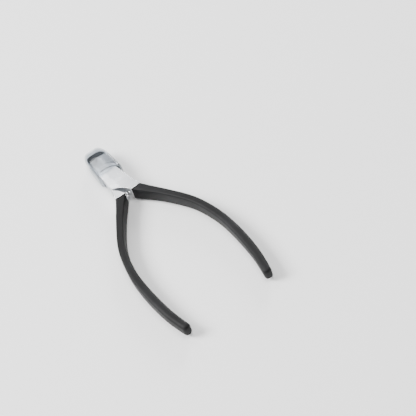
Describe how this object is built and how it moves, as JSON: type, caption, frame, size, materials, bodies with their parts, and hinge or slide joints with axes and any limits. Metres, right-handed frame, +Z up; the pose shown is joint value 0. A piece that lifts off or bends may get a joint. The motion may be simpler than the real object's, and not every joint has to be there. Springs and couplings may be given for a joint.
{
  "type": "toenail nipper",
  "caption": "Plier-type toenail nipper with a lap joint on a flush rivet, bowed soft-touch handles, a small coil return spring and a clear cap over the closed jaws",
  "frame": {"origin": "on the pivot axis, at the flat underside of the joint", "axes": "+Y from the handles towards the jaw tips, +X to the right handle's side, +Z up along the pivot axis"},
  "size_m": [0.062, 0.1428, 0.01],
  "materials": {
    "blade_steel": "satin bead-blasted stainless steel",
    "rivet_steel": "ground flush stainless steel",
    "spring_steel": "drawn bright spring wire",
    "soft_touch": "matte black soft-touch rubber",
    "clear_plastic": "clear flexible plastic"
  },
  "bodies": {
    "lower_lever": {"lower_half": "blade_steel", "grip_left": "soft_touch", "pivot_rivet": "rivet_steel", "spring_peg_left": "rivet_steel", "return_spring": "spring_steel"},
    "upper_lever": {"upper_half": "blade_steel", "grip_right": "soft_touch", "spring_peg_right": "rivet_steel"},
    "cap": {"tip_cap": "clear_plastic"}
  },
  "joints": [
    {"name": "handle_open", "type": "hinge", "parent": "lower_lever", "child": "upper_lever", "pos_m": [0, 0, 0.0041], "axis": [0, 0, 1], "range_deg": [0, 14], "deforming": ["return_spring"]},
    {"name": "cap_pull", "type": "slide", "parent": "lower_lever", "child": "cap", "axis": [0, 1, 0], "range_m": [0, 0.066]}
  ],
  "couplings": [
    {"joint": "cap_pull", "follows": "handle_open", "m_per_rad": 0.27011}
  ]
}
